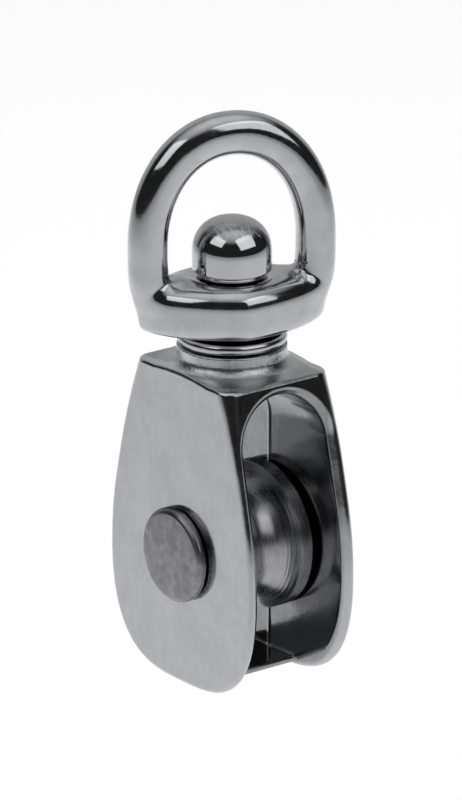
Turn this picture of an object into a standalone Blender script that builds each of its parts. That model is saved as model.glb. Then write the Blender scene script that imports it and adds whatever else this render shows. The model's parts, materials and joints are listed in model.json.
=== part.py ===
"""Single sheave block with a swivel eye: a cast body, a turned sheave on a riveted axle, a D-shaped eye.

The frame: +Z is the swivel axis, +Y is the axle's axis, +X is the mouth of the rope opening. The origin
is the point inside the top of the eye that the block hangs by. Sizes below are in millimetres.
"""
import math

import bmesh
import bpy
from mathutils import Vector

MM = 0.001                    # one millimetre in Blender's metres

# Driving dimensions
SHEAVE_DIAMETER = 25.0        # the size that a block of this kind is sold by
AXLE_DROP = 66.7              # from the hanging point down to the axle's centre line
GAP = 0.3                     # clearance between pieces that touch or turn on each other

# Sheave and its bush
SHEAVE_RADIUS = SHEAVE_DIAMETER / 2
SHEAVE_HALF = 7.35            # half of its thickness
RIM_WIDTH = 2.6               # flat rim on each side of the groove
GROOVE_DEPTH = 3.5
RECESS_DEPTH = 0.7            # shallow turned recess in each side face
RECESS_INNER = 7.6
RECESS_OUTER = 10.6
BUSH_WALL = 1.4
BUSH_HALF = 7.0

# Axle
AXLE_RADIUS = 4.0
HEAD_RADIUS = 8.0
HEAD_THICKNESS = 2.0
HEAD_SHOULDER = 1.1           # rounding of the head's outer edge
HEAD_FLAT_RADIUS = 5.1        # the head is plain inside this
TAIL_RADIUS = 6.3             # the upset end on the far cheek
TAIL_THICKNESS = 1.9

# Body: two cheeks and a crown in one casting. Heights are measured from the axle.
CROWN_TOP = 30.9
CROWN_HALF_DEPTH = 12.9       # half of the crown's length along X
BODY_HALF_WIDTH = 10.8        # half of the width over the cheeks
EDGE_ROUND = 0.9
EASE = 0.4                    # the small corner taken off turned edges
WIDEST_HEIGHT = -3.2
WIDEST_HALF_DEPTH = 19.3
CHEEK_BOTTOM = -22.7
SIDE_LEAN = math.radians(13.0)  # the upper sides lean in by this from the vertical
BELLY_FLATNESS = 3.2          # the cheeks' round lower edge: 2 is an ellipse, and more is squarer,
BELLY_SIDE_POWER = 2.3        # at the bottom and at the sides
OPENING_HALF = 7.75           # half of the rope opening's width at mid depth
OPENING_DRAFT = math.radians(3.0)
ARCH_SPRING = 20.3            # where the opening's sides run into its round top
MOUTH_CHAMFER = 1.1
MOUTH_CHAMFER_END = 3.0       # the chamfer stops this far from the lowest point, inside the bridge
BRIDGE_HALF_DEPTH = 6.7
BRIDGE_TOP = -20.4
BRIDGE_BOTTOM = -21.5

# Neck and swivel
NECK_TOP = 34.6
NECK_RADIUS = 9.1
NECK_FLARE = 1.5              # fillet where the neck meets the crown
CROWN_RISE = 0.8              # the crown's top climbs by this towards the neck
PIN_RADIUS = 4.0
PIN_TAIL_RADIUS = 4.9
PIN_TAIL_THICKNESS = 2.2
SPOT_FACE_HEIGHT = 27.7       # flat under the crown that the pin's tail is upset against
WASHER_HEIGHT = 1.8
WASHER_ROUND = 0.7            # rounding of its edges

# Eye. The hub is the thick bottom of the loop, which the swivel pin passes through.
EYE_TURN = math.radians(-21.5)  # how far the eye is turned from facing along X
HUB_BOTTOM = 37.0
HUB_HEIGHT = 9.6
HUB_HALF_WIDTH = 15.8
HUB_HALF_DEPTH = 10.2
LOOP_WIDEST = 52.0            # height where the loop is widest
LOOP_HALF_WIDTH = 14.2        # these three are to the middle of the bar
BAR_TOP = 3.6                 # half of the bar's height at the crown of the loop
BAR_SIDE = 3.25               # half of its width in the legs
BAR_HALF_DEPTH = 3.2
BAR_POWER = 2.3               # section of the bar: 2 is an ellipse, and more is squarer
LOOP_CROWN_POWER = 2.1        # the loop's outline over its widest height, and under it
LOOP_FOOT_POWER = 4.5
HUB_PLAN_POWER = 1.45         # the hub seen from above is a lens with softly pointed ends
HUB_TOP_POWER = 3.3           # fullness of its upper and lower edges
HUB_FOOT_POWER = 6.0
DISH_RADIUS = 7.4
DISH_DEPTH = 0.6              # the round hollow in the hub's top that the head sits in
DOME_RADIUS = 6.6
DOME_BASE = 47.2
DOME_TOP = 56.1
DOME_STRAIGHT = 2.8           # straight part of the head under its round top
DOME_POWER = 2.25             # 2 is an ellipse; more is fuller
UNDERCUT_RADIUS = 5.9         # the head's stem between the dome and the dish

TURN_STEPS = 44               # sides of a turned piece


def remove_everything():
    for thing in list(bpy.data.objects):
        bpy.data.objects.remove(thing, do_unlink=True)


def metal(name, colour, roughness):
    material = bpy.data.materials.new(name)
    material.use_nodes = True
    shader = material.node_tree.nodes["Principled BSDF"]
    shader.inputs["Base Color"].default_value = (*colour, 1.0)
    shader.inputs["Metallic"].default_value = 1.0
    shader.inputs["Roughness"].default_value = roughness
    material.diffuse_color = (*colour, 1.0)
    return material


def empty(name, location, turn=0.0):
    holder = bpy.data.objects.new(name, None)
    holder.location = location
    holder.rotation_euler = (0.0, 0.0, turn)
    bpy.context.scene.collection.objects.link(holder)
    return holder


def add_object(name, mesh_builder, parent, material=None):
    """Turn a bmesh built in millimetres into an object, with its faces pointing out."""
    bmesh.ops.remove_doubles(mesh_builder, verts=mesh_builder.verts, dist=1e-5)
    bmesh.ops.recalc_face_normals(mesh_builder, faces=mesh_builder.faces)
    bmesh.ops.scale(mesh_builder, vec=(MM, MM, MM), verts=mesh_builder.verts)
    mesh = bpy.data.meshes.new(name)
    mesh_builder.to_mesh(mesh)
    mesh_builder.free()
    mesh.shade_smooth()
    mesh.set_sharp_from_angle(angle=math.radians(32))
    thing = bpy.data.objects.new(name, mesh)
    thing.parent = parent
    bpy.context.scene.collection.objects.link(thing)
    if material:
        mesh.materials.append(material)
    return thing


def along_axle(thing):
    """Lay a turned piece, made about Z, along the axle."""
    thing.rotation_euler = (-math.pi / 2, 0.0, 0.0)
    return thing


def cut_or_join(thing, guide, operation):
    """Boolean with a guide, which isn't a piece of the object itself."""
    step = thing.modifiers.new(guide.name, "BOOLEAN")
    step.operation = operation
    step.object = guide
    step.solver = "EXACT"
    guide.hide_render = True
    guide.display_type = "WIRE"


def turned(profile, closed=False):
    """A solid turned about Z from a profile of (radius, height) points."""
    shape = bmesh.new()
    points = [shape.verts.new((radius, 0.0, height)) for radius, height in profile]
    pairs = list(zip(points, points[1:]))
    if closed:
        pairs.append((points[-1], points[0]))
    edges = [shape.edges.new(pair) for pair in pairs]
    bmesh.ops.spin(shape, geom=points + edges, cent=(0, 0, 0), axis=(0, 0, 1), dvec=(0, 0, 0),
                   angle=2 * math.pi, steps=TURN_STEPS, use_merge=True, use_duplicate=False)
    return shape


def arc(centre, radius, start, end, steps):
    """Points on a circle's arc, given by angles in degrees, ends included."""
    turns = [math.radians(start + (end - start) * i / steps) for i in range(steps + 1)]
    return [(centre[0] + radius * math.cos(t), centre[1] + radius * math.sin(t)) for t in turns]


def loft(rings, closed_ends=True):
    """Skin closed rings of points, one after another, and cap the two ends."""
    shape = bmesh.new()
    rows = [[shape.verts.new(point) for point in ring] for ring in rings]
    count = len(rows[0])
    for row, following in zip(rows, rows[1:]):
        for i in range(count):
            j = (i + 1) % count
            shape.faces.new((row[i], row[j], following[j], following[i]))
    if closed_ends:
        shape.faces.new(rows[0])
        shape.faces.new(rows[-1])
    return shape


def block(half_x, half_y, low, high):
    shape = bmesh.new()
    bmesh.ops.create_cube(shape, size=2.0)
    middle = (low + high) / 2
    for vert in shape.verts:
        vert.co = Vector((vert.co.x * half_x, vert.co.y * half_y, middle + vert.co.z * (high - low) / 2))
    return shape


# ---------------------------------------------------------------- body

def side_arc():
    """Radius of the arc that joins the leaning sides to the widest point, and the arc's top height."""
    rise = CROWN_TOP - WIDEST_HEIGHT
    inset = WIDEST_HALF_DEPTH - CROWN_HALF_DEPTH
    lean = SIDE_LEAN
    radius = (rise * math.sin(lean) - inset * math.cos(lean)) / (1 - math.cos(lean))
    return radius, WIDEST_HEIGHT + radius * math.sin(lean)


def cheek_edge(belly_steps=14, side_steps=6):
    """Half outline of the cheek in XZ, from the crown's corner down round to the lowest point."""
    radius, arc_top = side_arc()
    points = [(CROWN_HALF_DEPTH, CROWN_TOP)]
    corner_to_arc = 6
    arc_point = WIDEST_HALF_DEPTH - radius * (1 - math.cos(SIDE_LEAN))
    for i in range(1, corner_to_arc):
        part = i / corner_to_arc
        points.append((CROWN_HALF_DEPTH + (arc_point - CROWN_HALF_DEPTH) * part,
                       CROWN_TOP + (arc_top - CROWN_TOP) * part))
    for i in range(side_steps):
        angle = SIDE_LEAN * (1 - i / side_steps)
        points.append((WIDEST_HALF_DEPTH - radius * (1 - math.cos(angle)),
                       WIDEST_HEIGHT + radius * math.sin(angle)))
    for i in range(belly_steps + 1):
        angle = math.pi / 2 * i / belly_steps
        reach = math.cos(angle) ** (2 / BELLY_FLATNESS) if i < belly_steps else 0.0
        fall = math.sin(angle) ** (2 / BELLY_SIDE_POWER)
        points.append((WIDEST_HALF_DEPTH * reach, WIDEST_HEIGHT + (CHEEK_BOTTOM - WIDEST_HEIGHT) * fall))
    return points


def half_depth_at(height):
    """Half length of the cheek along X at a height, and the outline's outward normal there."""
    radius, arc_top = side_arc()
    if height >= arc_top:
        depth = CROWN_HALF_DEPTH + (CROWN_TOP - height) * math.tan(SIDE_LEAN)
        return depth, (math.cos(SIDE_LEAN), math.sin(SIDE_LEAN))
    angle = math.asin((height - WIDEST_HEIGHT) / radius)
    return WIDEST_HALF_DEPTH - radius * (1 - math.cos(angle)), (math.cos(angle), math.sin(angle))


def make_casting(parent):
    half = cheek_edge()
    outline = half + [(-x, z) for x, z in reversed(half[:-1])]
    ends = [[(x, y, z) for x, z in outline] for y in (-BODY_HALF_WIDTH, BODY_HALF_WIDTH)]
    casting = loft(ends)
    bmesh.ops.recalc_face_normals(casting, faces=casting.faces)
    sharp = [edge for edge in casting.edges if edge.calc_face_angle(0.0) > math.radians(40)]
    bmesh.ops.bevel(casting, geom=sharp, offset=EDGE_ROUND, offset_type="OFFSET", segments=2, profile=0.5,
                    affect="EDGES", clamp_overlap=True)
    return add_object("block_body", casting, parent)


def opening_ring(x, arch_steps=14):
    """Outline of the rope opening in YZ at a depth x: straight sides under a round top."""
    half = OPENING_HALF + abs(x) * math.tan(OPENING_DRAFT)
    low = CHEEK_BOTTOM - 8
    ring = [(x, half, low)]
    ring += [(x, y, z) for y, z in arc((0, ARCH_SPRING), half, 0, 180, arch_steps)]
    ring += [(x, -half, low)]
    return ring


def mouth_stations(arch_steps=14):
    """Places along one side of the opening's mouth, from the top of the arch down the wall.

    Each is the cheek edge's depth and outward normal there, the angle round the arch, and the height
    that the arch or wall starts from.
    """
    stations = []
    for i in range(arch_steps + 1):
        angle = math.pi / 2 * (1 - i / arch_steps)
        depth, normal = half_depth_at(ARCH_SPRING + OPENING_HALF * math.sin(angle))
        stations.append((depth, normal, angle, ARCH_SPRING))
    wall = [point for point in cheek_edge() if point[1] < ARCH_SPRING - 1 and point[0] > MOUTH_CHAMFER_END]
    for before, (depth, height), after in zip(wall, wall[1:], wall[2:]):
        along = Vector((after[0] - before[0], after[1] - before[1])).normalized()
        stations.append((depth, (-along.y, along.x), 0.0, height))
    return stations


def mouth_chamfer(side, proud=1.0):
    """Wedge that takes the corner off one mouth of the opening, and stands proud of the cheeks' edge."""
    shape = bmesh.new()
    columns = []
    for depth, normal, angle, base in mouth_stations():
        column = []
        for out, extra in ((-MOUTH_CHAMFER, 0.0), (proud, MOUTH_CHAMFER + proud)):
            half = OPENING_HALF + depth * math.tan(OPENING_DRAFT) + extra
            x = side * (depth + out * normal[0])
            y = half * math.cos(angle)
            z = base + half * math.sin(angle) + out * normal[1]
            column += [shape.verts.new((x, y, z)), shape.verts.new((x, -y, z))]
        columns.append(column)
    for upper, lower in zip(columns, columns[1:]):
        for a, b in ((0, 1), (1, 3), (3, 2), (2, 0)):
            shape.faces.new((upper[a], upper[b], lower[b], lower[a]))
    last = columns[-1]
    shape.faces.new((last[0], last[1], last[3], last[2]))
    return shape


def make_neck():
    """The round neck, on a low cone that is sunk into the crown."""
    foot = CROWN_TOP - EDGE_ROUND * 1.8
    rim = CROWN_HALF_DEPTH - EDGE_ROUND
    fillet_centre = (NECK_RADIUS + NECK_FLARE, CROWN_TOP + CROWN_RISE + NECK_FLARE)
    profile = [(0, NECK_TOP), (NECK_RADIUS - EASE, NECK_TOP), (NECK_RADIUS, NECK_TOP - EASE)]
    profile += arc(fillet_centre, NECK_FLARE, 180, 270, 5)
    profile += [(rim, CROWN_TOP - 0.1), (rim, foot), (0, foot)]
    return turned(profile)


def make_body(parent, material):
    body = make_casting(parent)
    body.data.materials.append(material)

    neck = add_object("guide_neck", make_neck(), parent)
    reach = 2 * CROWN_HALF_DEPTH
    between_edges = block(reach, BODY_HALF_WIDTH - EDGE_ROUND * 0.6, CROWN_TOP - reach, CROWN_TOP + reach)
    cut_or_join(neck, add_object("guide_neck_sides", between_edges, parent), "INTERSECT")
    cut_or_join(body, neck, "UNION")

    past_mouth = WIDEST_HALF_DEPTH + 3
    opening = loft([opening_ring(x) for x in (-past_mouth, 0, past_mouth)])
    cut_or_join(body, add_object("guide_opening", opening, parent), "DIFFERENCE")
    for side in (-1, 1):
        chamfer = add_object(f"guide_mouth_{side}", mouth_chamfer(side), parent)
        cut_or_join(body, chamfer, "DIFFERENCE")

    bridge = block(BRIDGE_HALF_DEPTH, BODY_HALF_WIDTH - 1.2, BRIDGE_BOTTOM, BRIDGE_TOP)
    cut_or_join(body, add_object("guide_bridge", bridge, parent), "UNION")

    past_cheek = BODY_HALF_WIDTH + 4
    axle_bore = AXLE_RADIUS + GAP
    axle_hole = turned([(0, past_cheek), (axle_bore, past_cheek), (axle_bore, -past_cheek), (0, -past_cheek)])
    cut_or_join(body, along_axle(add_object("guide_axle_hole", axle_hole, parent)), "DIFFERENCE")

    pin_bore = PIN_RADIUS + GAP
    spot_face = PIN_TAIL_RADIUS + GAP
    past_neck = NECK_TOP + 4
    pin_hole = turned([(0, past_neck), (pin_bore, past_neck), (pin_bore, SPOT_FACE_HEIGHT),
                       (spot_face, SPOT_FACE_HEIGHT), (spot_face, ARCH_SPRING), (0, ARCH_SPRING)])
    cut_or_join(body, add_object("guide_pin_hole", pin_hole, parent), "DIFFERENCE")


# ---------------------------------------------------------------- turned pieces

def make_sheave(parent, material):
    lip = SHEAVE_HALF - RIM_WIDTH
    bottom = SHEAVE_RADIUS - GROOVE_DEPTH
    round_radius = (lip ** 2 + GROOVE_DEPTH ** 2) / (2 * GROOVE_DEPTH)
    reach = math.degrees(math.asin(lip / round_radius))
    bore = AXLE_RADIUS + BUSH_WALL + 2 * GAP
    floor = SHEAVE_HALF - RECESS_DEPTH
    half = [(bore, SHEAVE_HALF), (RECESS_INNER, SHEAVE_HALF), (RECESS_INNER + RECESS_DEPTH, floor),
            (RECESS_OUTER - RECESS_DEPTH, floor), (RECESS_OUTER, SHEAVE_HALF),
            (SHEAVE_RADIUS - EASE, SHEAVE_HALF), (SHEAVE_RADIUS, SHEAVE_HALF - EASE)]
    groove = arc((bottom + round_radius, 0), round_radius, 180 - reach, 180 + reach, 10)
    profile = half + groove + [(radius, -height) for radius, height in reversed(half)]
    return along_axle(add_object("sheave", turned(profile, closed=True), parent, material))


def make_bush(parent, material):
    inner = AXLE_RADIUS + GAP
    outer = inner + BUSH_WALL
    profile = [(inner, BUSH_HALF), (outer, BUSH_HALF), (outer, -BUSH_HALF), (inner, -BUSH_HALF)]
    return along_axle(add_object("sheave_bush", turned(profile, closed=True), parent, material))


def upset_tail(radius, seat, thickness, steps=5):
    """Profile of a rivet's spread end: from its seat out and round to its crown, on the seat's far side."""
    rim = [(radius - EASE, seat)]
    return rim + [(radius * math.cos(t), seat + EASE + (thickness - EASE) * math.sin(t))
                  for t in (math.pi / 2 * i / steps for i in range(steps))]


def make_axle(parent, material):
    """One rivet: a flat round-shouldered head on the -Y cheek, a shank, an upset tail on the +Y cheek."""
    seat = BODY_HALF_WIDTH + GAP
    face = seat + HEAD_THICKNESS
    profile = [(0, -face), (HEAD_FLAT_RADIUS, -face)]
    profile += arc((HEAD_RADIUS - HEAD_SHOULDER, -face + HEAD_SHOULDER), HEAD_SHOULDER, -90, 0, 5)
    profile += [(HEAD_RADIUS, -seat), (AXLE_RADIUS, -seat), (AXLE_RADIUS, seat)]
    profile += upset_tail(TAIL_RADIUS, seat, TAIL_THICKNESS)
    profile += [(0, seat + TAIL_THICKNESS)]
    return along_axle(add_object("axle_pin", turned(profile), parent, material))


def make_swivel_pin(parent, material):
    """One rivet: a domed head over the hub, a shank through hub, washer and neck, and an upset tail."""
    head_seat = HUB_BOTTOM + HUB_HEIGHT - DISH_DEPTH + GAP
    shoulder = DOME_BASE + DOME_STRAIGHT
    rise = DOME_TOP - shoulder
    dome = []
    for i in range(9, -1, -1):
        turn = math.radians(9 * i)
        dome.append((DOME_RADIUS * math.cos(turn) ** (2 / DOME_POWER),
                     shoulder + rise * math.sin(turn) ** (2 / DOME_POWER)))
    tail_seat = SPOT_FACE_HEIGHT - GAP
    tail = [(radius, 2 * tail_seat - height)
            for radius, height in upset_tail(PIN_TAIL_RADIUS, tail_seat, PIN_TAIL_THICKNESS)]
    profile = [(0, DOME_TOP)] + dome
    profile += [(DOME_RADIUS, DOME_BASE + EASE), (DOME_RADIUS - EASE, DOME_BASE)]
    profile += [(UNDERCUT_RADIUS, DOME_BASE), (UNDERCUT_RADIUS, head_seat)]
    profile += [(PIN_RADIUS, head_seat), (PIN_RADIUS, tail_seat)]
    profile += tail + [(0, tail_seat - PIN_TAIL_THICKNESS)]
    return add_object("swivel_pin", turned(profile), parent, material)


def make_washer(parent, material):
    low = NECK_TOP + GAP
    high = low + WASHER_HEIGHT
    inner = PIN_RADIUS + GAP
    round_centre = NECK_RADIUS - WASHER_ROUND
    profile = [(inner, high)] + arc((round_centre, high - WASHER_ROUND), WASHER_ROUND, 90, 0, 4)
    profile += arc((round_centre, low + WASHER_ROUND), WASHER_ROUND, 0, -90, 4)
    profile += [(inner, low)]
    return add_object("thrust_washer", turned(profile, closed=True), parent, material)


# ---------------------------------------------------------------- eye

def rounded(wave, power):
    """A sine or cosine bent so that the ellipse it draws becomes fuller or leaner."""
    return math.copysign(abs(wave) ** (2 / power), wave)


def loop_point(angle):
    """Middle of the bar at an angle round the loop (0 right, 90 top): place along Y, and height."""
    crown_rise = AXLE_DROP + BAR_TOP - LOOP_WIDEST
    foot_drop = LOOP_WIDEST - (HUB_BOTTOM + HUB_HEIGHT / 2)
    above = math.sin(angle) >= 0
    power, rise = (LOOP_CROWN_POWER, crown_rise) if above else (LOOP_FOOT_POWER, foot_drop)
    return (LOOP_HALF_WIDTH * rounded(math.cos(angle), power),
            LOOP_WIDEST + rise * rounded(math.sin(angle), power))


def loop_bar(steps=60, sides=16, nudge=1e-3):
    """The closed D of the loop: a bar of rounded section bent in the YZ plane."""
    bar_bottom = HUB_HEIGHT / 2 - GAP
    rings = []
    for i in range(steps):
        angle = 2 * math.pi * (i + 0.5) / steps
        place, height = loop_point(angle)
        before = loop_point(angle - nudge)
        after = loop_point(angle + nudge)
        along = Vector((after[0] - before[0], after[1] - before[1])).normalized()
        outward = Vector((along.y, -along.x))
        up = math.sin(angle)
        half = BAR_SIDE + (BAR_TOP - BAR_SIDE) * max(up, 0) ** 2 + (bar_bottom - BAR_SIDE) * max(-up, 0) ** 2
        ring = []
        for j in range(sides):
            turn = 2 * math.pi * j / sides
            out = rounded(math.cos(turn), BAR_POWER) * half
            ring.append((rounded(math.sin(turn), BAR_POWER) * BAR_HALF_DEPTH,
                         place + out * outward.x, height + out * outward.y))
        rings.append(ring)
    return loft(rings + [rings[0]], closed_ends=False)


def hub_lump(levels=14, sides=40):
    """The swollen bottom of the loop: a lens in plan, with rounded top and bottom edges."""
    middle = HUB_BOTTOM + HUB_HEIGHT / 2
    turns = [2 * math.pi * j / sides for j in range(sides)]
    plan = [(HUB_HALF_DEPTH * rounded(math.cos(turn), HUB_PLAN_POWER),
             HUB_HALF_WIDTH * rounded(math.sin(turn), HUB_PLAN_POWER)) for turn in turns]
    rings = []
    for i in range(1, levels):
        tilt = math.pi * (i / levels - 0.5)
        power = HUB_TOP_POWER if tilt > 0 else HUB_FOOT_POWER
        reach = rounded(math.cos(tilt), power)
        height = rounded(math.sin(tilt), power) * HUB_HEIGHT / 2
        rings.append([(x * reach, y * reach, middle + height) for x, y in plan])
    return loft(rings)


def make_eye(parent, material):
    eye = add_object("swivel_eye", hub_lump(), parent, material)
    cut_or_join(eye, add_object("guide_loop", loop_bar(), parent), "UNION")
    top = HUB_BOTTOM + HUB_HEIGHT
    hole = PIN_RADIUS + GAP
    floor = UNDERCUT_RADIUS + GAP
    bottom = top - DISH_DEPTH
    under = HUB_BOTTOM - 2
    dish = turned([(0, top + 1), (DISH_RADIUS + 1, top + 1), (DISH_RADIUS, top - 0.2),
                   (floor, bottom), (hole, bottom), (hole, under), (0, under)])
    cut_or_join(eye, add_object("guide_dish", dish, parent), "DIFFERENCE")


def main():
    remove_everything()
    cast = metal("polished_casting", (0.53, 0.54, 0.56), 0.16)
    plated = metal("bright_pin", (0.56, 0.57, 0.59), 0.08)
    turned_steel = metal("turned_steel", (0.46, 0.46, 0.48), 0.28)
    dull_steel = metal("dull_steel", (0.36, 0.36, 0.38), 0.36)
    bronze = metal("bush_bronze", (0.62, 0.45, 0.26), 0.40)

    axle_height = -AXLE_DROP * MM
    block_frame = empty("block_frame", (0.0, 0.0, axle_height))
    axle_axis = empty("axle_axis", (0.0, 0.0, axle_height))
    eye_axis = empty("eye_axis", (0.0, 0.0, axle_height), EYE_TURN)

    make_body(block_frame, cast)
    make_swivel_pin(block_frame, plated)
    make_washer(block_frame, plated)
    make_axle(axle_axis, dull_steel)
    make_sheave(axle_axis, turned_steel)
    make_bush(axle_axis, bronze)
    make_eye(eye_axis, cast)


main()
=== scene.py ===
"""Looks of the single sheave block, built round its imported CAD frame.

Lengths are in millimetres until a mesh is stored. Heights called "up" are measured from the axle. The cast
pieces are even fine meshes whose points are settled onto smooth surfaces; the others are turned profiles.
"""
import json
import math

import bmesh
import bpy
import numpy as np
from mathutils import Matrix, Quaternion, Vector


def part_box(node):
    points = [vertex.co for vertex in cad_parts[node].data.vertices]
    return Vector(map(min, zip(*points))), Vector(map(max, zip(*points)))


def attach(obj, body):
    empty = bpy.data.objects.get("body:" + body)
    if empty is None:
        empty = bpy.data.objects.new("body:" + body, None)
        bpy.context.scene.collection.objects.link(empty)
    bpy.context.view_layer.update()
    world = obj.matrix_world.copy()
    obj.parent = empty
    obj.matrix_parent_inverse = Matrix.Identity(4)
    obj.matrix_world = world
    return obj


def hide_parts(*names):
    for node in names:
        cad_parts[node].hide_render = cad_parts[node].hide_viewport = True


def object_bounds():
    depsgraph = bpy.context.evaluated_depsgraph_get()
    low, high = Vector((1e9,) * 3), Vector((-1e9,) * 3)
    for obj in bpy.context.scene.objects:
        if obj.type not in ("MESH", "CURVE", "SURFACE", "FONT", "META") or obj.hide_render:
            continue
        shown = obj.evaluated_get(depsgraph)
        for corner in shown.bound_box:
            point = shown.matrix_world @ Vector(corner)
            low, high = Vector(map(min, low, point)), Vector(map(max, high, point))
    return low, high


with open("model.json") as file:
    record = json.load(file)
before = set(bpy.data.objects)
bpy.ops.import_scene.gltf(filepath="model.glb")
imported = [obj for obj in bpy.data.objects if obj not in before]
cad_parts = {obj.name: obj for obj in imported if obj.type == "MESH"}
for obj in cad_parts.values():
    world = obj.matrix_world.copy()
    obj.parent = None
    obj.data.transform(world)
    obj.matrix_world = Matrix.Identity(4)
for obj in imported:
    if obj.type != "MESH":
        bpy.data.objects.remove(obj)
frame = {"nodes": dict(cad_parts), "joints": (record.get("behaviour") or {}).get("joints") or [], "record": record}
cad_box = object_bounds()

MM = 0.001


def corners(node):
    """Lowest and highest corner of a CAD node in millimetres."""
    return [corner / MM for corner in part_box(node)]


# ---------------------------------------------------------------- sizes read from the frame
AXLE = next(joint["pos_m"][2] for joint in frame["joints"] if joint["name"] == "sheave_spin") / MM
COLOURS = {entry["slot"]: entry["base_color"] for entry in frame["record"]["materials"]}

body_low, body_high = corners("block_body")
BODY_HALF_WIDTH = body_high.y
WIDEST_HALF_DEPTH = body_high.x
CHEEK_BOTTOM = body_low.z - AXLE
NECK_TOP = body_high.z - AXLE

eye_low, eye_high = corners("swivel_eye")
HUB_BOTTOM = eye_low.z - AXLE
LOOP_TOP = eye_high.z - AXLE

pin_low, pin_high = corners("swivel_pin")
DOME_RADIUS = pin_high.y
DOME_TOP = pin_high.z - AXLE
PIN_TAIL_END = pin_low.z - AXLE

washer_low, washer_high = corners("thrust_washer")
WASHER_RADIUS = washer_high.y
WASHER_LOW = washer_low.z - AXLE
WASHER_HIGH = washer_high.z - AXLE

sheave_high = corners("sheave")[1]
SHEAVE_RADIUS = sheave_high.x
SHEAVE_HALF = sheave_high.y

bush_high = corners("sheave_bush")[1]
BUSH_OUTER = bush_high.x
BUSH_HALF = bush_high.y

axle_low, axle_high = corners("axle_pin")
HEAD_RADIUS = axle_high.x
HEAD_FACE = -axle_low.y
TAIL_END = axle_high.y

# ---------------------------------------------------------------- sizes inside those boxes
GAP = 0.3                     # room between pieces that touch

# Body
CROWN_TOP = 30.9
CROWN_HALF_DEPTH = 12.9
EDGE_ROUND = 0.8              # rounding of the cheeks' edges
CROWN_EDGE = 0.5              # rounding of the crown's upper edge
WIDEST_HEIGHT = -3.2
SIDE_LEAN = math.radians(13.0)
BELLY_FLATNESS = 3.2
BELLY_SIDE_POWER = 2.3
OPENING_HALF = 7.75
OPENING_DRAFT = math.radians(3.0)
ARCH_SPRING = 20.3
MOUTH_CHAMFER = 1.1
CHAMFER_ROUND = 0.22
BRIDGE_HALF_DEPTH = 6.7       # the bridge ties the cheeks at the bottom
BRIDGE_HALF_WIDTH = BODY_HALF_WIDTH - 1.2
BRIDGE_TOP = -20.4
BRIDGE_BOTTOM = -21.5
BRIDGE_EDGE = 0.4
BRIDGE_END_EDGE = 0.2
BRIDGE_FILLET = 0.5
NECK_RADIUS = 9.1
NECK_FLARE = 1.5
CROWN_RISE = 0.8              # the crown's top climbs by this towards the neck
CORNER_ROUND = 2.4            # extra rounding of the cheeks' upright edges at the crown
CORNER_FADE = 17.0            # it is gone this far below the crown
PARTING_RISE = 0.16           # ridge inside the opening, where two mould halves met
PARTING_WIDTH = 0.32
NECK_EDGE = 0.3
AXLE_RADIUS = 4.0
PIN_RADIUS = 4.0
PIN_TAIL_RADIUS = 4.9
SPOT_FACE_HEIGHT = 27.7       # flat under the crown that the pin's tail sits on

# Eye
EYE_TURN = math.radians(-21.5)
HUB_HEIGHT = 9.6
HUB_HALF_WIDTH = 15.8
HUB_HALF_DEPTH = 10.2
HUB_PLAN_POWER = 1.45
HUB_TOP_POWER = 3.3
HUB_FOOT_POWER = 6.0
LOOP_WIDEST = 52.0
LOOP_HALF_WIDTH = 14.2
LOOP_CROWN_POWER = 2.1
LOOP_FOOT_POWER = 4.5
BAR_TOP = 3.6
BAR_SIDE = 3.24               # a hair under the CAD's, which keeps the mesh inside the CAD's box
BAR_HALF_DEPTH = 3.2
BAR_POWER = 2.3
HUB_FILLET = 1.5              # where the loop's legs run into the hub
DISH_RADIUS = 7.4             # hollow in the hub's top that the pin's head sits in
DISH_DEPTH = 0.6
DISH_LIP = 0.2                # the dish is at its full radius this far under the hub's top
DISH_EDGE = 0.3
HOLLOW_REACH = 1.0            # how far over the hub's top the hollow goes, which spares the loop

# Pin, washer, axle and sheave
UNDERCUT_RADIUS = 5.9         # neck of the pin's head, between its dome and the dish
DOME_BASE = 47.2
DOME_STRAIGHT = 2.8
DOME_POWER = 2.25
PIN_EASE = 0.45               # corners taken off turned edges
SHEAVE_EASE = 0.35
BUSH_EASE = 0.25
TAIL_EASE = 0.35
TAIL_RIM = 0.4                # height of a rivet tail's rim under its round crown
WASHER_BULGE = 0.7            # how far the washer's rounded rim stands out
HEAD_SHOULDER = 1.1
HEAD_DOMING = 0.22            # fall of the axle head's face from its middle to its shoulder
TAIL_RADIUS = 6.3
RIM_WIDTH = 2.6
GROOVE_DEPTH = 3.5
RECESS_DEPTH = 0.7
RECESS_INNER = 7.6
RECESS_OUTER = 10.6
HEAD_MARKS = (0.55, 0.004)    # pitch and depth of turning marks on the axle's head
GROOVE_MARKS = (0.36, 0.022)  # and high on the groove's sides
GROOVE_MARKED = (0.60, 0.80)  # where those start and are full, as shares of the groove's half width
MARKED_SINK = 0.02            # how much deeper the groove is cut there

# Finishes
# painted light: above this zone the grainy casting's colour is also painted lighter on the neck and crown top
RAW_AND_PAINTED_LIGHT_ZONE = (CROWN_TOP - 0.5, CROWN_TOP + 0.9)    # above it the casting is left grainy
# painted shade: inward of this zone the casting's colour is painted darker inside the opening
PAINTED_SHADE_ZONE = (BODY_HALF_WIDTH - 1.6, BODY_HALF_WIDTH - 2.2)    # from a cheek's outside to its inside
SCUFFED_ZONE = (DOME_TOP - 3.0, DOME_TOP - 1.2)  # above it the pin's dome is scuffed

# Meshes
TURN_STEPS = 180              # sides of a turned piece
SHARP_ANGLE = math.radians(30)
EASE_SHARE = 0.45             # most of a profile's side that the rounding of one corner takes
BODY_VOXEL = 0.28             # spacing of the fine meshes' points
EYE_VOXEL = 0.22
SMOOTHING_ROUNDS = 3          # times that the points are evened out and settled again


# ---------------------------------------------------------------- smooth surfaces of the cast pieces

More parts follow.
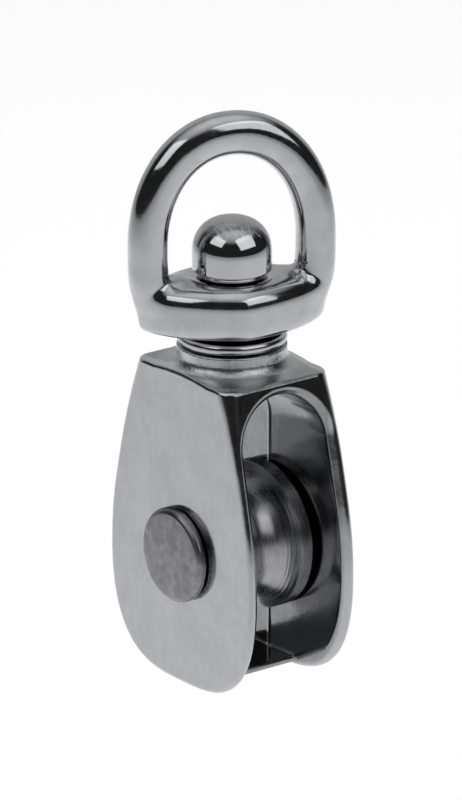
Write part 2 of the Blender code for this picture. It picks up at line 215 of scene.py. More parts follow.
def round_both(a, b, radius):
    """Distance to what lies inside both surfaces, with the edge between them rounded."""
    outside = np.hypot(np.maximum(radius + a, 0), np.maximum(radius + b, 0))
    return np.minimum(-radius, np.maximum(a, b)) + outside


def round_either(a, b, radius):
    """Distance to what lies inside either surface, with a fillet between them."""
    inside = np.hypot(np.maximum(radius - a, 0), np.maximum(radius - b, 0))
    return np.maximum(radius, np.minimum(a, b)) - inside


def cheek_outline(x, up):
    """Distance to the cheeks' outline: leaning straight sides, a long arc, and a squarish round belly."""
    x = np.abs(x)
    lean_cos, lean_sin = math.cos(SIDE_LEAN), math.sin(SIDE_LEAN)
    rise = CROWN_TOP - WIDEST_HEIGHT
    inset = WIDEST_HALF_DEPTH - CROWN_HALF_DEPTH
    radius = (rise * lean_sin - inset * lean_cos) / (1 - lean_cos)
    lean = (x - CROWN_HALF_DEPTH) * lean_cos + (up - CROWN_TOP) * lean_sin
    side = np.hypot(x - WIDEST_HALF_DEPTH + radius, up - WIDEST_HEIGHT) - radius
    drop = WIDEST_HEIGHT - CHEEK_BOTTOM
    across = x / WIDEST_HALF_DEPTH
    down = np.maximum(WIDEST_HEIGHT - up, 1e-6) / drop
    value = across ** BELLY_FLATNESS + down ** BELLY_SIDE_POWER - 1
    slope = np.hypot(BELLY_FLATNESS * across ** (BELLY_FLATNESS - 1) / WIDEST_HALF_DEPTH,
                     BELLY_SIDE_POWER * down ** (BELLY_SIDE_POWER - 1) / drop)
    belly = value / np.maximum(slope, 1e-3)
    arc_top = WIDEST_HEIGHT + radius * lean_sin
    return np.where(up > arc_top, lean, np.where(up > WIDEST_HEIGHT, side, belly))


def body_surface(points):
    """The casting of the body: cheeks, crown and neck, less the rope opening, with the bridge and bores."""
    x, y, up = points.T
    from_axis = np.hypot(x, y)
    near_crown = np.clip(1 - (CROWN_TOP - up) / CORNER_FADE, 0, 1)
    cheeks = round_both(cheek_outline(x, up), np.abs(y) - BODY_HALF_WIDTH,
                        EDGE_ROUND + CORNER_ROUND * near_crown ** 2)
    rise = CROWN_RISE * np.clip((CROWN_HALF_DEPTH - from_axis) / (CROWN_HALF_DEPTH - NECK_RADIUS), 0, 1)
    crown = round_both(cheeks, up - CROWN_TOP - rise, CROWN_EDGE)
    neck = round_both(from_axis - NECK_RADIUS, up - NECK_TOP, NECK_EDGE)
    neck = np.maximum(neck, ARCH_SPRING + OPENING_HALF - up)
    casting = round_either(crown, neck, NECK_FLARE)

    half = OPENING_HALF + np.abs(x) * math.tan(OPENING_DRAFT)
    half -= PARTING_RISE * np.exp(-(x / PARTING_WIDTH) ** 2)
    opening = np.where(up > ARCH_SPRING, np.hypot(y, up - ARCH_SPRING), np.abs(y)) - half
    chamfer = (casting + MOUTH_CHAMFER - opening) * math.sqrt(0.5)
    casting = round_both(round_both(casting, -opening, CHAMFER_ROUND), chamfer, CHAMFER_ROUND)

    middle = (BRIDGE_TOP + BRIDGE_BOTTOM) / 2
    thick = np.abs(up - middle) - (BRIDGE_TOP - BRIDGE_BOTTOM) / 2
    bridge = round_both(round_both(np.abs(x) - BRIDGE_HALF_DEPTH, thick, BRIDGE_EDGE),
                        np.abs(y) - BRIDGE_HALF_WIDTH, BRIDGE_END_EDGE)
    casting = round_either(casting, bridge, BRIDGE_FILLET)

    axle_bore = np.hypot(x, up) - AXLE_RADIUS - GAP
    spot_face = np.maximum(from_axis - PIN_TAIL_RADIUS - GAP, up - SPOT_FACE_HEIGHT)
    pin_bore = np.maximum(np.minimum(from_axis - PIN_RADIUS - GAP, spot_face), ARCH_SPRING - up)
    return np.maximum(np.maximum(casting, -axle_bore), -pin_bore)


def bent(wave, power):
    """A sine or cosine bent so that the ellipse it draws becomes fuller or leaner."""
    return np.sign(wave) * np.abs(wave) ** (2 / power)


class EyeSurface:
    """The loop and its hub. The loop's bar follows a curve that is held as close-set samples."""

    COARSE = 240
    FINE = 12                 # samples between two coarse ones
    TANGENT_REACH = 6         # samples either way that give the curve's direction
    LEAST_SIZE = 0.05         # keeps a point in the very middle from dividing by nothing

    def __init__(self):
        angle = 2 * math.pi * (np.arange(self.COARSE * self.FINE) + 0.5) / (self.COARSE * self.FINE)
        across, rise = np.cos(angle), np.sin(angle)
        crown = LOOP_TOP - BAR_TOP - LOOP_WIDEST
        foot = LOOP_WIDEST - (HUB_BOTTOM + HUB_HEIGHT / 2)
        above = rise > 0
        power = np.where(above, LOOP_CROWN_POWER, LOOP_FOOT_POWER)
        curve = np.stack([LOOP_HALF_WIDTH * bent(across, power),
                          LOOP_WIDEST + np.where(above, crown, foot) * bent(rise, power)], axis=1)
        length = np.linalg.norm(np.roll(curve, -1, axis=0) - curve, axis=1)
        place = np.concatenate([[0], np.cumsum(length)])
        even = np.linspace(0, place[-1], len(curve), endpoint=False)
        closed = np.vstack([curve, curve[:1]])
        self.curve = np.stack([np.interp(even, place, closed[:, k]) for k in (0, 1)], axis=1)
        reach = self.TANGENT_REACH
        along = np.roll(self.curve, -reach, axis=0) - np.roll(self.curve, reach, axis=0)
        along /= np.linalg.norm(along, axis=1)[:, None]
        self.outward = np.stack([along[:, 1], -along[:, 0]], axis=1)
        turn = np.interp(even, place, np.append(rise, rise[0]))
        bottom = HUB_HEIGHT / 2 - GAP
        self.half = (BAR_SIDE + (BAR_TOP - BAR_SIDE) * np.maximum(turn, 0) ** 2
                     + (bottom - BAR_SIDE) * np.maximum(-turn, 0) ** 2)
        self.coarse = None

    def nearest(self, flat):
        """Index of the curve's nearest sample. The rough place is kept, because points hardly move."""
        if self.coarse is None:
            rough = self.curve[::self.FINE]
            gap = ((flat[:, None, :] - rough[None]) ** 2).sum(2)
            self.coarse = gap.argmin(1) * self.FINE
        window = np.arange(-2 * self.FINE, 2 * self.FINE + 1)
        found = (self.coarse[:, None] + window) % len(self.curve)
        gap = ((flat[:, None, :] - self.curve[found]) ** 2).sum(2)
        return found[np.arange(len(flat)), gap.argmin(1)]

    def bar(self, depth, flat):
        """Distance to the loop's bar, which is round-cornered and thickest at the hub."""
        sample = self.nearest(flat)
        out = ((flat - self.curve[sample]) * self.outward[sample]).sum(1)
        size = (np.abs(out / self.half[sample]) ** BAR_POWER
                + np.abs(depth / BAR_HALF_DEPTH) ** BAR_POWER) ** (1 / BAR_POWER)
        return np.hypot(out, depth) * (1 - 1 / np.maximum(size, self.LEAST_SIZE))

    def hub(self, depth, across, up):
        """Distance to the hub: a lens seen from above, with rounded top and bottom edges."""
        up = up - HUB_BOTTOM - HUB_HEIGHT / 2
        plan = (np.abs(depth / HUB_HALF_DEPTH) ** HUB_PLAN_POWER
                + np.abs(across / HUB_HALF_WIDTH) ** HUB_PLAN_POWER) ** (1 / HUB_PLAN_POWER)
        power = np.where(up > 0, HUB_TOP_POWER, HUB_FOOT_POWER)
        size = (plan ** power + np.abs(up / (HUB_HEIGHT / 2)) ** power) ** (1 / power)
        return np.sqrt(depth ** 2 + across ** 2 + up ** 2) * (1 - 1 / np.maximum(size, self.LEAST_SIZE))

    def __call__(self, points):
        x, y, up = points.T
        depth = x * math.cos(EYE_TURN) + y * math.sin(EYE_TURN)
        across = y * math.cos(EYE_TURN) - x * math.sin(EYE_TURN)
        bar = self.bar(depth, np.stack([across, up], axis=1))
        solid = round_either(bar, self.hub(depth, across, up), HUB_FILLET)
        from_axis = np.hypot(x, y)
        hub_top = HUB_BOTTOM + HUB_HEIGHT
        floor = hub_top - DISH_DEPTH
        slant = (DISH_RADIUS - UNDERCUT_RADIUS - GAP) / (DISH_DEPTH - DISH_LIP)
        cone = (from_axis - UNDERCUT_RADIUS - GAP - (up - floor) * slant) / math.hypot(1, slant)
        hollow = np.minimum(np.maximum(cone, floor - up), from_axis - PIN_RADIUS - GAP)
        hollow = np.maximum(hollow, up - hub_top - HOLLOW_REACH)
        return round_both(solid, -hollow, DISH_EDGE)


def slope_of(surface, points, step=1.5e-2):
    """How fast the surface's distance grows along each axis."""
    shifts = np.eye(3) * step
    return np.stack([(surface(points + s) - surface(points - s)) / (2 * step) for s in shifts], axis=1)


def settle(points, surface, rounds, furthest=0.2):
    """Move points onto the surface, a short way at a time."""
    for _ in range(rounds):
        slope = slope_of(surface, points)
        steepness = np.maximum((slope ** 2).sum(1), 0.1)
        travel = np.clip(surface(points) / steepness, -furthest, furthest)
        points = points - travel[:, None] * slope
    return points


def relaxed(points, edges, share=0.5):
    """Points moved towards the middle of their neighbours, which evens the mesh."""
    ends = np.concatenate([edges[:, 0], edges[:, 1]])
    others = np.concatenate([edges[:, 1], edges[:, 0]])
    count = np.bincount(ends, minlength=len(points))
    middle = np.stack([np.bincount(ends, points[others, k], len(points)) for k in range(3)], axis=1)
    return points + share * (middle / np.maximum(count, 1)[:, None] - points)


def even_mesh(node, voxel):
    """A CAD node's shape again as an even mesh of small faces."""
    weld = bmesh.new()
    weld.from_mesh(frame["nodes"][node].data)
    bmesh.ops.remove_doubles(weld, verts=weld.verts, dist=1e-6)
    mesh = bpy.data.meshes.new(node + "_welded")
    weld.to_mesh(mesh)
    weld.free()
    thing = bpy.data.objects.new(mesh.name, mesh)
    bpy.context.scene.collection.objects.link(thing)
    step = thing.modifiers.new("even", "REMESH")
    step.mode = "VOXEL"
    step.voxel_size = voxel * MM
    bpy.context.view_layer.update()
    even = bpy.data.meshes.new_from_object(thing.evaluated_get(bpy.context.evaluated_depsgraph_get()))
    bpy.data.objects.remove(thing)
    return even


def cast_piece(name, node, voxel, surface):
    """A fine mesh on the smooth surface, with the surface's own normals."""
    mesh = even_mesh(node, voxel)
    mesh.name = name
    points = np.empty(len(mesh.vertices) * 3, np.float32)
    mesh.vertices.foreach_get("co", points)
    points = points.reshape(-1, 3).astype(float) / MM - (0, 0, AXLE)
    edges = np.empty(len(mesh.edges) * 2, np.int32)
    mesh.edges.foreach_get("vertices", edges)
    edges = edges.reshape(-1, 2)
    points = settle(points, surface, 3)
    for _ in range(SMOOTHING_ROUNDS):
        points = settle(relaxed(points, edges), surface, 2)
    normals = slope_of(surface, points)
    normals /= np.linalg.norm(normals, axis=1)[:, None]
    mesh.vertices.foreach_set("co", ((points + (0, 0, AXLE)) * MM).astype(np.float32).ravel())
    mesh.update()
    mesh.shade_smooth()
    mesh.normals_split_custom_set_from_vertices(normals.astype(np.float32))
    return new_piece(name, mesh)


def new_piece(name, mesh):
    thing = bpy.data.objects.new(name, mesh)
    bpy.context.scene.collection.objects.link(thing)
    return thing


# ---------------------------------------------------------------- turned pieces

def arc(centre, radius, start, end, steps):
    """Points on a circle's arc between two angles in degrees, ends included."""
    turns = [math.radians(start + (end - start) * i / steps) for i in range(steps + 1)]
    return [(centre[0] + radius * math.cos(t), centre[1] + radius * math.sin(t)) for t in turns]


def eased(points, radius, steps=6, closed=False):
    """A profile whose corners are rounded by up to the radius."""
    result = []
    count = len(points)
    for i, point in enumerate(points):
        if not closed and i in (0, count - 1):
            result.append(point)
            continue
        here, before, after = Vector(point), Vector(points[i - 1]), Vector(points[(i + 1) % count])
        reach = min(radius, EASE_SHARE * (before - here).length, EASE_SHARE * (after - here).length)
        start = here + (before - here).normalized() * reach
        end = here + (after - here).normalized() * reach
        for k in range(steps + 1):
            t = k / steps
            result.append(tuple(start * (1 - t) ** 2 + here * 2 * t * (1 - t) + end * t ** 2))
    return result


def turned_piece(name, profile, closed=False, along_axle=False):
    """A piece turned from a profile of (radius, height) points about the swivel axis or the axle."""
    shape = bmesh.new()
    rows = []
    for radius, height in profile:
        on_axis = radius < 1e-6
        ring = []
        for k in range(1 if on_axis else TURN_STEPS):
            turn = 2 * math.pi * k / TURN_STEPS
            across, back = radius * math.cos(turn), radius * math.sin(turn)
            place = (across, height, back) if along_axle else (across, back, height)
            ring.append(shape.verts.new(Vector(place) + Vector((0, 0, AXLE))))
        rows.append(ring)
    for upper, lower in zip(rows, rows[1:] + rows[:1] if closed else rows[1:]):
        for k in range(TURN_STEPS):
            j = (k + 1) % TURN_STEPS
            quad = [upper[k % len(upper)], upper[j % len(upper)],
                    lower[j % len(lower)], lower[k % len(lower)]]
            corners_used = list(dict.fromkeys(quad))
            if len(corners_used) > 2:
                shape.faces.new(corners_used)
    bmesh.ops.recalc_face_normals(shape, faces=shape.faces)
    bmesh.ops.scale(shape, vec=(MM, MM, MM), verts=shape.verts)
    mesh = bpy.data.meshes.new(name)
    shape.to_mesh(mesh)
    shape.free()
    mesh.shade_smooth()
    mesh.set_sharp_from_angle(angle=SHARP_ANGLE)
    thing = new_piece(name, mesh)
    step = thing.modifiers.new("flat faces stay flat", "WEIGHTED_NORMAL")
    step.keep_sharp = True
    return thing


def ripple(place, pitch, depth):
    """Turning marks: a small wave with an uneven height."""
    wave = math.sin(2 * math.pi * place / pitch)
    return depth * wave * (0.6 + 0.4 * math.sin(2.4 * place) * math.sin(5.3 * place + 1.0))


def make_sheave():
    """A wheel with a round groove, a flat rim each side of it and a shallow recess in each face."""
    lip = SHEAVE_HALF - RIM_WIDTH
    bottom = SHEAVE_RADIUS - GROOVE_DEPTH
    round_radius = (lip ** 2 + GROOVE_DEPTH ** 2) / (2 * GROOVE_DEPTH)
    reach = math.degrees(math.asin(lip / round_radius))
    bore = BUSH_OUTER + GAP
    floor = SHEAVE_HALF - RECESS_DEPTH
    side = [(bore, SHEAVE_HALF), (RECESS_INNER, SHEAVE_HALF), (RECESS_INNER + RECESS_DEPTH, floor),
            (RECESS_OUTER - RECESS_DEPTH, floor), (RECESS_OUTER, SHEAVE_HALF), (SHEAVE_RADIUS, SHEAVE_HALF)]
    steps = 150
    pitch, mark_depth = GROOVE_MARKS
    start, full = (share * lip for share in GROOVE_MARKED)
    groove = []
    for radius, height in arc((bottom + round_radius, 0), round_radius, 180 - reach, 180 + reach, steps):
        marked = min(1.0, max(0.0, (abs(height) - start) / (full - start)))
        groove.append((radius + ripple(height, pitch, mark_depth * marked) - MARKED_SINK * marked, height))
    rim_edge = (SHEAVE_RADIUS, lip)
    upper = eased(side + [rim_edge], SHEAVE_EASE)[:-1]
    lower = [(radius, -height) for radius, height in reversed(upper)]
    middle = [rim_edge] + groove[1:-1] + [(SHEAVE_RADIUS, -lip)]
    return turned_piece("sheave_wheel", upper + middle + lower, closed=True, along_axle=True)


def make_bush():
    inner = AXLE_RADIUS + GAP
    profile = [(inner, BUSH_HALF), (BUSH_OUTER, BUSH_HALF), (BUSH_OUTER, -BUSH_HALF), (inner, -BUSH_HALF)]
    return turned_piece("bush_ring", eased(profile, BUSH_EASE, closed=True), closed=True, along_axle=True)


def spread_tail(radius, seat, end, steps=14):
    """A rivet's upset end, from its seat round to its crown."""
    rim = seat + math.copysign(TAIL_RIM, end - seat)
    curve = [(radius * math.cos(t), rim + (end - rim) * math.sin(t))
             for t in (math.pi / 2 * i / steps for i in range(steps))]
    return [(radius - TAIL_EASE, seat)] + curve + [(0, end)]


def make_axle():
    """A rivet with a flat, faintly turned head that has a round shoulder."""
    seat = BODY_HALF_WIDTH + GAP
    steps = 40
    pitch, mark_depth = HEAD_MARKS
    face = []
    flat = HEAD_RADIUS - HEAD_SHOULDER
    for i in range(steps):
        radius = flat * i / steps
        mark = ripple(radius, pitch, mark_depth) + mark_depth if i else 0.0
        face.append((radius, -HEAD_FACE + HEAD_DOMING * (radius / flat) ** 2 + mark))
    shoulder = arc((flat, -HEAD_FACE + HEAD_DOMING + HEAD_SHOULDER), HEAD_SHOULDER, -90, -8, 10)
    stem = [(HEAD_RADIUS, -seat - TAIL_EASE), (HEAD_RADIUS - TAIL_EASE, -seat),
            (AXLE_RADIUS, -seat), (AXLE_RADIUS, seat)]
    tail = spread_tail(TAIL_RADIUS, seat, TAIL_END)
    return turned_piece("axle_rivet", face + shoulder + stem + tail, along_axle=True)


def make_pin():
    """A rivet with a domed head that stands on a short neck in the hub's dish."""
    seat = HUB_BOTTOM + HUB_HEIGHT - DISH_DEPTH + GAP
    shoulder = DOME_BASE + DOME_STRAIGHT
    steps = 48
    dome = []
    for i in range(steps, -1, -1):
        turn = math.pi / 2 * i / steps
        radius = DOME_RADIUS * bent(math.cos(turn), DOME_POWER) if i < steps else 0.0
        height = shoulder + (DOME_TOP - shoulder) * bent(math.sin(turn), DOME_POWER)
        dome.append((float(radius), float(height)))
    neck = [(DOME_RADIUS, DOME_BASE), (UNDERCUT_RADIUS, DOME_BASE), (UNDERCUT_RADIUS, seat),
            (PIN_RADIUS, seat), (PIN_RADIUS, SPOT_FACE_HEIGHT - GAP)]
    stem = eased([dome[-1]] + neck, PIN_EASE)[1:]
    tail = spread_tail(PIN_TAIL_RADIUS, SPOT_FACE_HEIGHT - GAP, PIN_TAIL_END)
    return turned_piece("pin_rivet", dome + stem + tail)


def make_washer():
    """A ring with a rounded rim."""
    inner = PIN_RADIUS + GAP
    height = WASHER_HIGH - WASHER_LOW
    middle = (WASHER_HIGH + WASHER_LOW) / 2
    bead = [(WASHER_RADIUS - WASHER_BULGE * (1 - math.cos(t)), middle + height / 2 * math.sin(t))
            for t in (math.pi * (0.5 - k / 24) for k in range(25))]
    profile = [(inner, WASHER_HIGH)] + bead + [(inner, WASHER_LOW)]
    return turned_piece("washer_ring", profile, closed=True)


# ---------------------------------------------------------------- finishes

class Finish:
    """A metal, its wear and any painted light or shade, in nodes that read the piece's own place in millimetres.
    """

    def __init__(self, slot):
        self.material = bpy.data.materials.new(slot + "_finish")
        self.material.use_nodes = True
        self.tree = self.material.node_tree
        self.shader = self.tree.nodes["Principled BSDF"]
        self.shader.inputs["Metallic"].default_value = 1.0
        self.colour = COLOURS[slot]
        metres = self.tree.nodes.new("ShaderNodeTexCoord").outputs["Object"]
        self.place = self.node("ShaderNodeVectorMath", {"operation": "SCALE"}, {0: metres, "Scale": 1 / MM})
        self.normal = None

    def node(self, kind, settings=None, inputs=None, output=0):
        """Add a node, set it up, and give one of its outputs."""
        node = self.tree.nodes.new(kind)
        for key, value in (settings or {}).items():
            setattr(node, key, value)
        for key, value in (inputs or {}).items():
            if isinstance(value, bpy.types.NodeSocket):
                self.tree.links.new(value, node.inputs[key])
            else:
                node.inputs[key].default_value = value
        return node.outputs[output]

    def noise(self, per_mm, stretch=(1, 1, 1), detail=3.0, offset=0.0):
        """Cloudy noise from 0 to 1, with so many features per millimetre."""
        place = self.node("ShaderNodeMapping", {}, {"Vector": self.place, "Scale": stretch,
                                                    "Location": (offset, offset * 0.7, offset * 1.3)})
        return self.node("ShaderNodeTexNoise", {}, {"Vector": place, "Scale": per_mm, "Detail": detail})

    def remap(self, value, low, high, to_low=0.0, to_high=1.0):
        """Carry one range over to another, smoothly and no further than its ends."""
        return self.node("ShaderNodeMapRange", {"interpolation_type": "SMOOTHSTEP"},
                         {"Value": value, "From Min": low, "From Max": high,
                          "To Min": to_low, "To Max": to_high})

    def maths(self, operation, a, b=0.0):
        return self.node("ShaderNodeMath", {"operation": operation}, {0: a, 1: b})

    def part(self, axis):
        """One coordinate of the place."""
        return self.node("ShaderNodeSeparateXYZ", {}, {0: self.place}, output="XYZ".index(axis))

    def height(self, low, high):
        """0 below one height and 1 above the other, both measured from the axle."""
        return self.remap(self.part("Z"), low + AXLE, high + AXLE)

    def tint(self, factor, dark, light):
        """Colour from the record's, darker where the factor is 0 and lighter where it is 1."""
        shades = [tuple(min(1.0, part * share) for part in self.colour) + (1.0,) for share in (dark, light)]
        mix = self.tree.nodes.new("ShaderNodeMix")
        mix.data_type = "RGBA"
        mix.clamp_factor = False
        self.tree.links.new(factor, mix.inputs["Factor"])
        mix.inputs[6].default_value, mix.inputs[7].default_value = shades
        self.tree.links.new(mix.outputs[2], self.shader.inputs["Base Color"])

    def rough(self, value):
        self.tree.links.new(value, self.shader.inputs["Roughness"])

    def bump(self, height, depth, share=1.0):
        """Relief of a depth in millimetres, over any that is there already."""
        inputs = {"Height": height, "Distance": depth * MM, "Strength": share}
        if self.normal:
            inputs["Normal"] = self.normal
        self.normal = self.node("ShaderNodeBump", {}, inputs)
        self.tree.links.new(self.normal, self.shader.inputs["Normal"])


def casting_finish_with_painted_light():
    """Polished with faint streaks and dents, grainy on the neck, with painted light that makes the neck and crown
    top lighter and painted shade that makes the opening's inside darker.
    """
    metal = Finish("casting")
    streaks = metal.noise(1.0, stretch=(1.8, 1.8, 0.09), detail=4)
    mottle = metal.noise(0.16, detail=2, offset=7)
    grain = metal.noise(2.4, detail=5)
    specks = metal.remap(metal.noise(1.3, detail=2, offset=3), 0.60, 0.70)
    # grainy casting on the neck and crown top, whose colour also gets painted light there
    raw_and_painted_light = metal.height(*RAW_AND_PAINTED_LIGHT_ZONE)
    # painted shade: this mask darkens the casting's colour inside the opening
    inside = metal.remap(metal.maths("ABSOLUTE", metal.part("Y")), *PAINTED_SHADE_ZONE)
    fine = metal.noise(0.8, detail=4, offset=11)
    shade = metal.maths("ADD", metal.maths("MULTIPLY", streaks, 0.2), metal.maths("MULTIPLY", mottle, 0.4))
    shade = metal.maths("ADD", shade, metal.maths("MULTIPLY", fine, 0.4))
    shade = metal.maths("SUBTRACT", shade, metal.maths("MULTIPLY", metal.maths("MULTIPLY", specks, raw_and_painted_light), 0.5))
    shade = metal.remap(shade, 0.3, 0.7)
    # painted light lifts the colour on the neck and crown top; painted shade darkens it inside the opening
    lighter = metal.maths("SUBTRACT", metal.maths("MULTIPLY", raw_and_painted_light, 2.4), metal.maths("MULTIPLY", inside, 2.6))
    metal.tint(metal.maths("ADD", shade, lighter), 0.86, 1.0)
    polish = metal.remap(shade, 0.0, 1.0, 0.17, 0.12)
    metal.rough(metal.maths("ADD", polish, metal.maths("MULTIPLY", raw_and_painted_light, 0.10)))
    metal.bump(metal.noise(0.10, detail=1, offset=2), 0.16)
    metal.bump(streaks, 0.006)
    metal.bump(fine, 0.012)
    metal.bump(metal.maths("MULTIPLY", grain, raw_and_painted_light), 0.07)
    return metal.material


def eye_finish():
    metal = Finish("eye")
    cloud = metal.noise(0.35, detail=3)
    scratches = metal.noise(1.0, stretch=(3.0, 0.5, 3.0), detail=4, offset=5)
    metal.tint(metal.remap(cloud, 0.35, 0.65), 0.90, 1.0)
    metal.rough(metal.remap(metal.maths("ADD", cloud, scratches), 0.7, 1.3, 0.07, 0.15))
    metal.bump(metal.noise(0.13, detail=1), 0.10)
    metal.bump(scratches, 0.004)
    return metal.material


def pin_finish():
    """Mirror polished, with a scuffed top."""
    metal = Finish("pin")
    scuffed = metal.height(*SCUFFED_ZONE)
    scuffs = metal.noise(0.9, stretch=(0.35, 2.6, 1.0), detail=5)
    metal.tint(metal.maths("MULTIPLY", scuffed, metal.remap(scuffs, 0.65, 0.35)), 1.0, 0.78)
    dull = metal.maths("MULTIPLY", scuffed, metal.remap(scuffs, 0.3, 0.7, 0.08, 0.30))
    metal.rough(metal.maths("ADD", dull, 0.07))
    metal.bump(metal.noise(0.2, detail=1), 0.06)
    metal.bump(metal.maths("MULTIPLY", scuffs, scuffed), 0.05)
    return metal.material


def washer_finish():
    metal = Finish("washer")
    cloud = metal.noise(0.6, detail=3)
    metal.tint(cloud, 0.88, 1.0)
    metal.rough(metal.remap(cloud, 0.3, 0.7, 0.10, 0.20))
    metal.bump(metal.noise(0.25, detail=2), 0.08)
    return metal.material


def axle_finish():
    """Dull, mottled and a little pitted."""
    metal = Finish("axle")
    mottle = metal.noise(0.55, detail=5)
    pits = metal.remap(metal.noise(1.6, detail=3, offset=4), 0.62, 0.75)
    shade = metal.maths("SUBTRACT", mottle, metal.maths("MULTIPLY", pits, 0.3))
    metal.tint(metal.remap(shade, 0.3, 0.7), 0.62, 0.84)
    metal.rough(metal.remap(mottle, 0.3, 0.7, 0.36, 0.26))
    metal.bump(mottle, 0.06)
    metal.bump(pits, -0.02)
    return metal.material


def sheave_finish():
    """Turned, with fine rings."""
    metal = Finish("sheave")
    rings = metal.noise(1.0, stretch=(0.02, 5.0, 0.02), detail=3)
    cloud = metal.noise(0.5, detail=3, offset=2)
    metal.tint(metal.remap(metal.maths("ADD", rings, cloud), 0.8, 1.2), 0.72, 0.86)
    metal.rough(metal.remap(rings, 0.3, 0.7, 0.24, 0.32))
    metal.bump(rings, 0.005)
    return metal.material


def bush_finish():
    metal = Finish("bush")
    rings = metal.noise(1.0, stretch=(0.05, 4.0, 0.05), detail=3)
    metal.tint(rings, 0.75, 1.1)
    metal.rough(metal.remap(rings, 0.3, 0.7, 0.30, 0.45))
    metal.bump(rings, 0.02)
    return metal.material


# ---------------------------------------------------------------- studio

CAMERA_AZIMUTH = math.radians(52.7)
CAMERA_ELEVATION = math.radians(19.2)
CAMERA_DISTANCE = 1100.0
VIEW_HEIGHT = 131.3           # how much height the frame takes in at the swivel axis
VIEW_CENTRE = 24.45           # height of the frame's middle over the axle
VIEW_LEFT = 0.15              # how far the frame's middle is left of the swivel axis
SENSOR = 36.0
FLOOR_DROP = 260.0            # the block hangs this far over the floor
FLOOR_RADIUS = 6.0            # in metres, as are all sizes of lights
PAPER = 0.92
ROOM_LEVELS = ((0.0, 0.02), (0.62, 0.02), (0.74, 0.30), (0.86, 0.55), (0.95, 0.75), (1.0, 0.85))
BACKDROP = (0.35, 0.80, 0.50)  # where the pale backdrop starts and is full, and how pale it is
SEEN_ROOM = 0.95              # how pale the room is to the camera itself


def direction(azimuth, elevation):
    """Unit vector from the object, with azimuths counted as the camera's are."""
    return Vector((math.sin(azimuth) * math.cos(elevation), -math.cos(azimuth) * math.cos(elevation),
                   math.sin(elevation)))


def make_camera():
    data = bpy.data.cameras.new("camera")
    data.sensor_width = SENSOR
    data.lens = SENSOR * CAMERA_DISTANCE / VIEW_HEIGHT
    data.clip_start, data.clip_end = 0.01, 100.0
    camera = bpy.data.objects.new("camera", data)
    bpy.context.scene.collection.objects.link(camera)
    back = direction(CAMERA_AZIMUTH, CAMERA_ELEVATION)
    right = Vector((math.cos(CAMERA_AZIMUTH), math.sin(CAMERA_AZIMUTH), 0.0))
    target = Vector((0, 0, AXLE + VIEW_CENTRE)) - right * VIEW_LEFT
    camera.location = (target + back * CAMERA_DISTANCE) * MM
    camera.rotation_mode = "QUATERNION"
    camera.rotation_quaternion = (-back).to_track_quat("-Z", "Y")
    bpy.context.scene.camera = camera


def make_floor():
    disc = bmesh.new()
    bmesh.ops.create_circle(disc, cap_ends=True, radius=FLOOR_RADIUS, segments=96)
    bmesh.ops.translate(disc, verts=disc.verts, vec=(0, 0, cad_box[0].z - FLOOR_DROP * MM))
    mesh = bpy.data.meshes.new("floor")
    disc.to_mesh(mesh)
    disc.free()
    material = bpy.data.materials.new("floor_paper")
    material.use_nodes = True
    shader = material.node_tree.nodes["Principled BSDF"]
    shader.inputs["Base Color"].default_value = (PAPER, PAPER, PAPER, 1.0)
    shader.inputs["Roughness"].default_value = 0.9
    mesh.materials.append(material)
    new_piece("floor", mesh)


def soft_light(name, azimuth, elevation, distance, width, height, radiance,
               in_reflections=True, down=False):
    """A rectangular light, in degrees from the camera's side and in metres.

    It faces the object, or straight down.
    """
    data = bpy.data.lights.new(name, "AREA")
    data.shape = "RECTANGLE"
    data.size, data.size_y = width, height
    data.energy = radiance * math.pi * width * height
    lamp = bpy.data.objects.new(name, data)
    bpy.context.scene.collection.objects.link(lamp)
    toward = direction(CAMERA_AZIMUTH + math.radians(azimuth), math.radians(elevation))
    lamp.location = Vector((0, 0, (AXLE + CROWN_TOP) * MM)) + toward * distance
    lamp.rotation_mode = "QUATERNION"
    facing_down = Quaternion((0, 0, 1), CAMERA_AZIMUTH)
    lamp.rotation_quaternion = facing_down if down else toward.to_track_quat("Z", "Y")
    lamp.visible_glossy = in_reflections


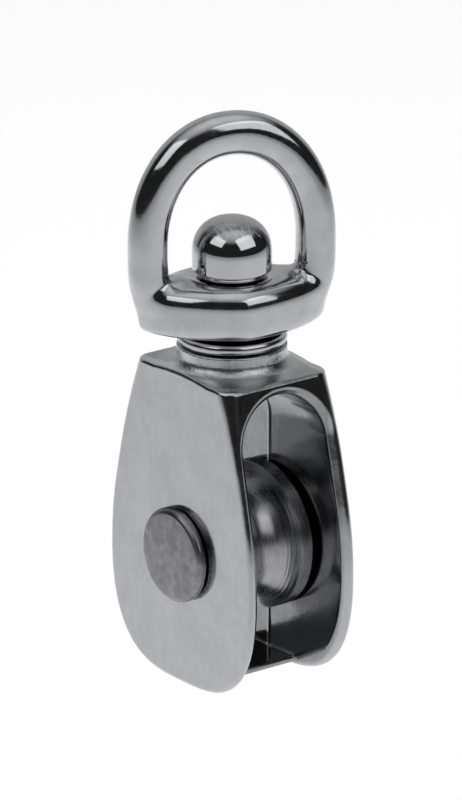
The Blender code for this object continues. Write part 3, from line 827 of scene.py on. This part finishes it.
def make_room():
    """A dark room that is pale overhead and has a pale backdrop behind the object.

    Metal mirrors that room, and the camera itself sees an even, nearly white one.
    """
    world = bpy.data.worlds.new("room")
    bpy.context.scene.world = world
    world.use_nodes = True
    tree = world.node_tree
    place = tree.nodes.new("ShaderNodeTexCoord").outputs["Generated"]

    split = tree.nodes.new("ShaderNodeSeparateXYZ")
    tree.links.new(place, split.inputs[0])
    ramp = tree.nodes.new("ShaderNodeValToRGB")
    tree.links.new(split.outputs["Z"], ramp.inputs["Fac"])
    levels = ramp.color_ramp.elements
    levels[0].position, levels[1].position = ROOM_LEVELS[0][0], ROOM_LEVELS[-1][0]
    for position, _ in ROOM_LEVELS[1:-1]:
        levels.new(position)
    for element, (_, level) in zip(levels, ROOM_LEVELS):
        element.color = (level, level, level, 1.0)

    behind = tree.nodes.new("ShaderNodeVectorMath")
    behind.operation = "DOT_PRODUCT"
    behind.inputs[1].default_value = -direction(CAMERA_AZIMUTH, 0.0)
    tree.links.new(place, behind.inputs[0])
    backdrop = tree.nodes.new("ShaderNodeMapRange")
    backdrop.interpolation_type = "SMOOTHSTEP"
    tree.links.new(behind.outputs["Value"], backdrop.inputs["Value"])
    for key, value in zip(("From Min", "From Max", "To Max"), BACKDROP):
        backdrop.inputs[key].default_value = value

    room = tree.nodes.new("ShaderNodeMix")
    room.data_type = "RGBA"
    room.blend_type = "LIGHTEN"
    room.inputs["Factor"].default_value = 1.0
    tree.links.new(ramp.outputs["Color"], room.inputs[6])
    tree.links.new(backdrop.outputs["Result"], room.inputs[7])

    mix = tree.nodes.new("ShaderNodeMix")
    mix.data_type = "RGBA"
    tree.links.new(tree.nodes.new("ShaderNodeLightPath").outputs["Is Camera Ray"], mix.inputs["Factor"])
    tree.links.new(room.outputs[2], mix.inputs[6])
    mix.inputs[7].default_value = (SEEN_ROOM, SEEN_ROOM, SEEN_ROOM, 1.0)
    tree.links.new(mix.outputs[2], tree.nodes["Background"].inputs["Color"])
    bpy.context.scene.view_settings.view_transform = "Standard"


def make_studio():
    make_camera()
    make_floor()
    make_room()
    soft_light("window_left", -58, 41, 1.6, 1.35, 0.75, 1.0)
    soft_light("window_right", 52, 38, 1.6, 1.50, 1.15, 1.0)
    soft_light("ceiling", 0, 80, 3.0, 3.0, 3.0, 0.8, in_reflections=False)
    soft_light("far_floor", 180, 30, 1.25, 1.6, 2.2, 1.0, in_reflections=False, down=True)


# ---------------------------------------------------------------- assembly

def place_piece(piece, node, body, material):
    piece.data.materials.clear()
    piece.data.materials.append(material)
    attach(piece, body)
    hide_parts(node)


def main():
    make_studio()
    place_piece(cast_piece("body_casting", "block_body", BODY_VOXEL, body_surface),
                "block_body", "block", casting_finish_with_painted_light())
    place_piece(cast_piece("eye_casting", "swivel_eye", EYE_VOXEL, EyeSurface()),
                "swivel_eye", "eye", eye_finish())
    place_piece(make_pin(), "swivel_pin", "block", pin_finish())
    place_piece(make_washer(), "thrust_washer", "block", washer_finish())
    place_piece(make_axle(), "axle_pin", "block", axle_finish())
    place_piece(make_sheave(), "sheave", "sheave", sheave_finish())
    place_piece(make_bush(), "sheave_bush", "sheave", bush_finish())


main()
